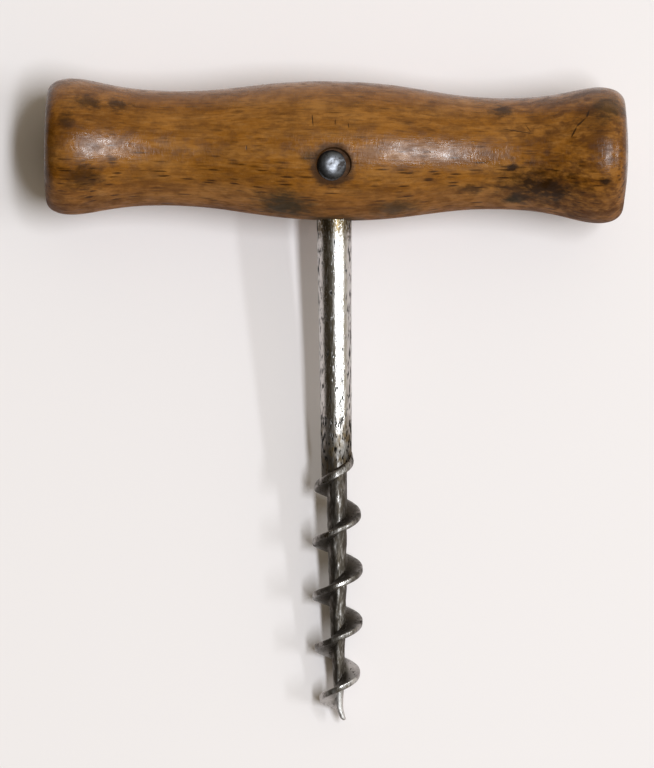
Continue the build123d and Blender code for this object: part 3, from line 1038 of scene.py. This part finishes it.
class CORKSCREW_OT_forge_worm(bpy.types.Operator):
    """Wrap a grid round the shank's axis into the shank, the worm and its bent point"""

    bl_idname = "corkscrew.forge_worm"
    bl_label = "Forge Worm"
    bl_options = {"REGISTER", "UNDO"}

    def execute(self, context):
        handle = context.scene.corkscrew_handle
        worm = context.scene.corkscrew_worm
        shape = WormShape(worm)
        origin = shank_origin(handle)
        first_turn = -worm.lead_in
        first_angle = worm.start_angle - pi / 2
        plain = shape.section(first_turn)

        # Rows of the grid: how far down, which turn, and the radius where the bar is plain.
        rows = []
        tang_radius = worm.tang_diameter / 2
        shank_start = handle.swell_diameter / 2
        shank_end = shape.reach(first_turn)
        rows.append((-worm.tang_reach, first_turn, tang_radius - worm.tang_chamfer))
        down = worm.tang_chamfer - worm.tang_reach
        while down < shank_end - SHANK_ROW / 2:
            taper = clamp((down - shank_start) / (shank_end - shank_start))
            rows.append((down, first_turn, tang_radius + (shape.shank_radius - tang_radius) * taper))
            down += SHANK_ROW
        count = round((shape.last_turn - first_turn) * ROWS_PER_TURN)
        for i in range(count + 1):
            turn = first_turn + (shape.last_turn - first_turn) * i / count
            rows.append((shape.reach(turn), turn, None))

        deselect_all()
        bpy.ops.mesh.primitive_grid_add(
            x_subdivisions=len(plain) - 1,
            y_subdivisions=len(rows) - 1,
            size=worm.blade_diameter,
            location=(0, 0, 0),
        )
        piece = context.object
        piece.name = "steel_worm_shank"
        mesh = piece.data
        if len(mesh.vertices) != len(plain) * len(rows):
            raise RuntimeError("the worm's grid doesn't have the rows and columns it was asked for")
        wear = mesh.attributes.new(RIM_ATTRIBUTE, "FLOAT", "POINT")
        index = 0
        for reach, turn, shank_radius in rows:
            blade_angle = first_angle - 2 * pi * turn
            shift = shape.side_shift(reach)
            for off, radius, rim in plain if shank_radius else shape.section(turn):
                far = shank_radius or radius
                across = shift + far * cos(blade_angle + off)
                front = -far * sin(blade_angle + off)
                place = origin + SHANK_RIGHT * across + TOOL_FRONT * front + SHANK_DOWN * reach
                mesh.vertices[index].co = place
                wear.data[index].value = 0.0 if shank_radius else rim
                index += 1

        bpy.ops.object.mode_set(mode="EDIT")
        bpy.ops.mesh.select_all(action="SELECT")
        bpy.ops.mesh.remove_doubles(threshold=GRID_GAP)
        bpy.ops.mesh.select_all(action="DESELECT")
        bpy.ops.mesh.select_mode(type="EDGE")
        bpy.ops.mesh.select_non_manifold(extend=False)
        bpy.ops.mesh.fill_holes(sides=0)
        bpy.ops.mesh.select_all(action="SELECT")
        bpy.ops.mesh.normals_make_consistent(inside=False)
        bpy.ops.object.mode_set(mode="OBJECT")
        hollow_surface(piece, "forging_waves", worm.forging_wave, FORGING_SIZE)
        finish_piece(
            piece, pitted_steel(handle, worm), "worm_shank", smooth_angle=radians(40))
        return {"FINISHED"}


class CORKSCREW_OT_set_rivet(bpy.types.Operator):
    """Spin the rivet from its outline and hammer its dome"""

    bl_idname = "corkscrew.set_rivet"
    bl_label = "Set Rivet"
    bl_options = {"REGISTER", "UNDO"}

    def execute(self, context):
        handle = context.scene.corkscrew_handle
        rivet = context.scene.corkscrew_rivet
        middle = rivet_middle(handle, rivet)
        seat = seat_height(handle, rivet)
        head = rivet.head_diameter / 2
        tail = rivet.tail_diameter / 2
        body = rivet.body_diameter / 2
        top = seat + rivet.head_height
        bottom = -seat - rivet.tail_height
        head_edge = seat + 0.3 * MM
        tail_edge = -seat - 0.25 * MM
        head_flat = head - 0.25 * MM
        tail_flat = tail - 0.2 * MM
        corner = 0.1 * MM
        # How far Bezier handles go: round a dome, in from a flat, out from the body and along it.
        round_off = 0.56
        flat_in = 0.75
        body_out = body * 1.2
        body_end = seat * 0.7
        dome_rise = (top - head_edge) * round_off
        tail_rise = (bottom - tail_edge) * round_off
        knots = (
            ((top, 0), (top, 0), (top, head * round_off)),
            ((head_edge + dome_rise, head), (head_edge, head), (seat + corner, head)),
            ((seat, head - corner), (seat, head_flat), (seat, head * flat_in)),
            ((seat, body_out), (seat, body), (body_end, body)),
            ((-body_end, body), (-seat, body), (-seat, body_out)),
            ((-seat, tail * flat_in), (-seat, tail_flat), (-seat, tail - corner)),
            ((-seat - corner, tail), (tail_edge, tail), (tail_edge + tail_rise, tail)),
            ((bottom, tail * round_off), (bottom, 0), (bottom, 0)),
        )
        piece = turn_outline(
            "domed_rivet", knots, RIVET_STEPS, RIVET_SIDES, middle, HANDLE_RIGHT, TOOL_FRONT)
        hollow_surface(piece, "hammer_marks", rivet.hammer_mark, HAMMER_SIZE)

        # The last blows beat the dome down to the right and left a flat that rounds off into it.
        soft = 0.12 * MM
        for vertex in piece.data.vertices:
            away = vertex.co - middle
            stand = away.dot(TOOL_FRONT)
            over = stand - top + rivet.flat_depth
            lean = clamp((stand - seat) / rivet.head_height) * tan(rivet.dome_lean)
            down = lean * (away.dot(HANDLE_RIGHT) + head)
            if over > soft:
                down += over
            elif over > -soft:
                down += (over + soft) ** 2 / (4 * soft)
            vertex.co -= TOOL_FRONT * down
        finish_piece(
            piece, hammered_iron(handle, rivet), "rivet", smooth_angle=radians(50))
        return {"FINISHED"}


class CORKSCREW_OT_set_stage(bpy.types.Operator):
    """Lay the floor, hang the lamps, light the room and set the camera"""

    bl_idname = "corkscrew.set_stage"
    bl_label = "Set Stage"
    bl_options = {"REGISTER", "UNDO"}

    def execute(self, context):
        scene = context.scene
        stage = scene.corkscrew_stage
        scene.view_settings.view_transform = "Standard"

        deselect_all()
        bpy.ops.mesh.primitive_plane_add(size=stage.floor_size, location=(0, 0, 0))
        floor = context.object
        floor.name = "floor"
        floor.data.materials.append(plain_paper(stage))

        # Two long lamps of one kind face straight down, side by side, to the right of the tool.
        height = stage.lamp_height
        lamp_y = handle_axis(scene.corkscrew_handle).y - stage.lamp_shift
        main_slope = 0.322
        side_slope = 1.17
        # The power at which the nearer lamp gives its share of the light that shows white as white.
        fall_off = (1 + main_slope ** 2) ** 2
        power = stage.lamp_share * fall_off * (pi * height) ** 2
        for name, slope in (("main_lamp", main_slope), ("side_lamp", side_slope)):
            bpy.ops.object.light_add(type="AREA", location=(slope * height, lamp_y, height))
            lamp = context.object
            lamp.name = name
            lamp.data.shape = "RECTANGLE"
            lamp.data.size = stage.lamp_width
            lamp.data.size_y = stage.lamp_length
            lamp.data.energy = power
            lamp.data.color = stage.lamp_colour
            lamp.visible_camera = False

        # A plain room, dim on the left and bright towards the handle's right end.
        world = bpy.data.worlds.new("soft_room")
        world.use_nodes = True
        scene.world = world
        tree = world.node_tree
        tree.nodes.clear()
        sky = add_node(tree, COORDINATES).outputs["Generated"]
        bright_side = Vector((0.92, 0.39, 0.0))
        blend_reach = 0.7
        slope = add_node(tree, VECTOR_MATH, (sky, bright_side), operation="DOT_PRODUCT")
        glow = add_node(
            tree, MAP_RANGE, (slope.outputs["Value"], -blend_reach, blend_reach, 0.0, 1.0),
            interpolation_type="SMOOTHSTEP")
        links = {0: glow, MIX_A: opaque(stage.room_left), MIX_B: opaque(stage.room_right)}
        room = add_node(tree, MIX, links, data_type="RGBA").outputs[MIX_RESULT]
        background = add_node(tree, "ShaderNodeBackground", {"Color": room})
        add_node(tree, "ShaderNodeOutputWorld", {"Surface": background})

        # The camera looks straight down from a little off the middle of the tool.
        camera_x = -1.055 * MM
        camera_y = 3.21 * MM
        sensor_height = 36.0
        lens = 238.4
        bpy.ops.object.camera_add(
            location=(camera_x, camera_y, stage.camera_height), rotation=(0, 0, stage.camera_turn))
        camera = context.object
        camera.name = "camera"
        camera.data.sensor_fit = "VERTICAL"
        camera.data.sensor_height = sensor_height
        camera.data.lens = lens
        camera.data.dof.use_dof = False
        scene.camera = camera
        return {"FINISHED"}


class VIEW3D_PT_corkscrew(bpy.types.Panel):
    """The corkscrew's sizes, colours and steps"""

    bl_idname = "VIEW3D_PT_corkscrew"
    bl_label = "Corkscrew"
    bl_space_type = "VIEW_3D"
    bl_region_type = "UI"
    bl_category = "Corkscrew"

    def draw(self, context):
        for group_name, (_, step) in GROUPS.items():
            box = self.layout.box()
            box.operator(step.bl_idname)
            group = getattr(context.scene, group_name)
            for name in group.__annotations__:
                box.prop(group, name)


# Each group of properties on the scene, and the step that uses it.
GROUPS = {
    "corkscrew_stage": (CorkscrewStage, CORKSCREW_OT_set_stage),
    "corkscrew_handle": (CorkscrewHandle, CORKSCREW_OT_turn_handle),
    "corkscrew_worm": (CorkscrewWorm, CORKSCREW_OT_forge_worm),
    "corkscrew_rivet": (CorkscrewRivet, CORKSCREW_OT_set_rivet),
}
CLASSES = [kind for pair in GROUPS.values() for kind in pair] + [VIEW3D_PT_corkscrew]


def register():
    for kind in CLASSES:
        bpy.utils.register_class(kind)
    for name, (group, _) in GROUPS.items():
        setattr(bpy.types.Scene, name, PointerProperty(type=group))


def unregister():
    for name in GROUPS:
        delattr(bpy.types.Scene, name)
    for kind in reversed(CLASSES):
        bpy.utils.unregister_class(kind)


def main():
    register()
    bpy.ops.corkscrew.set_stage()
    bpy.ops.corkscrew.turn_handle()
    bpy.ops.corkscrew.forge_worm()
    bpy.ops.corkscrew.set_rivet()


if __name__ == "__main__":
    main()
